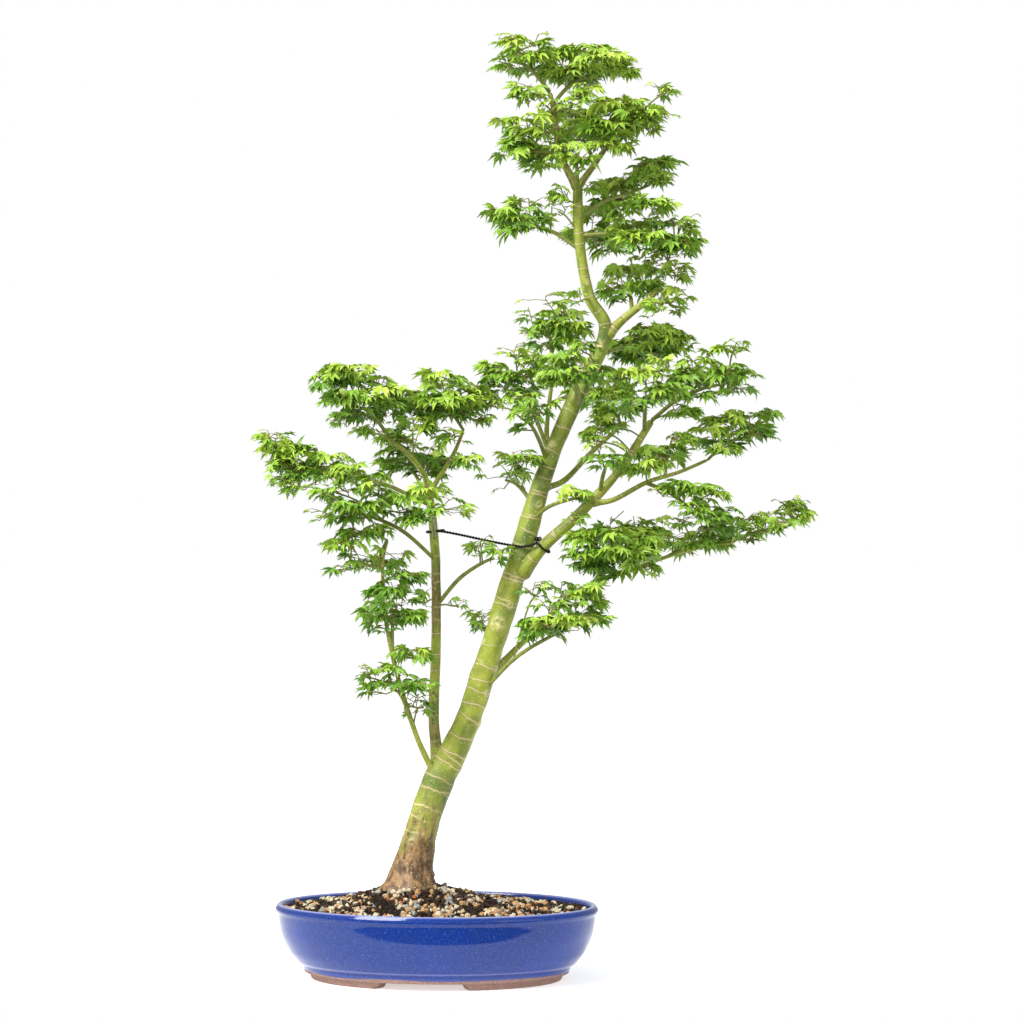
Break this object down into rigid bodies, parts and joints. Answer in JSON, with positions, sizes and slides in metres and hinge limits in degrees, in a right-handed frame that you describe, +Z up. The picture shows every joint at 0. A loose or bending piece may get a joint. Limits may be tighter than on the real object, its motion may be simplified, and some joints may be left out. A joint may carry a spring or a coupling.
{
  "type": "potted japanese maple bonsai",
  "caption": "Tall two-stemmed lion's-head japanese maple grown as a bonsai in an oval glazed pot, with open tiers of palmate leaves and a training strap.",
  "frame": {"origin": "on the surface that the pot stands on, under the middle of the plant's box", "axes": "+Z up, front towards -Y, the pot's long axis turned 8 degrees clockwise from X"},
  "size_m": [0.6292, 0.3106, 1.0823],
  "materials": {
    "glazed_pot": "glossy mottled cobalt glaze over a bare clay foot band",
    "soil": "loose baked clay and pumice grains",
    "bark": "smooth yellow-green bark, rough and brown at the foot",
    "leaves": "crinkled leaf, soft sheen",
    "strap": "dark twine"
  },
  "bodies": {
    "root": {"back_bough": "bark", "crown_left": "bark", "crown_right": "bark", "fork_bough": "bark", "front_bough": "bark", "inner_bough": "bark", "leaves_back_left": "leaves", "leaves_crown_back": "leaves", "leaves_crown_low_front": "leaves", "leaves_crown_low_left": "leaves", "leaves_crown_right": "leaves", "leaves_crown_top_left": "leaves", "leaves_crown_top_right": "leaves", "leaves_fork_inner": "leaves", "leaves_fork_right": "leaves", "leaves_fork_sprig": "leaves", "leaves_front_sprig": "leaves", "leaves_front_upper": "leaves", "leaves_inner_right": "leaves", "leaves_leader_back": "leaves", "leaves_leader_left": "leaves", "leaves_leader_right": "leaves", "leaves_leader_right_upper": "leaves", "leaves_left_lower": "leaves", "leaves_left_small": "leaves", "leaves_left_upper": "leaves", "leaves_low_back": "leaves", "leaves_low_front": "leaves", "leaves_low_middle": "leaves", "leaves_low_right": "leaves", "leaves_low_tip": "leaves", "leaves_middle_back": "leaves", "leaves_right_back": "leaves", "leaves_right_far": "leaves", "leaves_right_front": "leaves", "leaves_right_hanging": "leaves", "leaves_right_outer": "leaves", "leaves_right_under": "leaves", "leaves_stem_back": "leaves", "leaves_stem_far_left": "leaves", "leaves_stem_mid_front": "leaves", "leaves_stem_mid_left": "leaves", "leaves_stem_sprig": "leaves", "leaves_stem_top_left": "leaves", "leaves_stem_top_right": "leaves", "leaves_trunk_sprig": "leaves", "leaves_whip_foot": "leaves", "leaves_whip_low": "leaves", "leaves_whip_top": "leaves", "left_stem": "bark", "left_whip": "bark", "lower_bough": "bark", "pot": "glazed_pot", "right_bough": "bark", "side_bough": "bark", "soil": "soil", "stem_left_top": "bark", "stem_right_top": "bark", "training_tie": "strap", "trunk": "bark"}
  },
  "joints": []
}
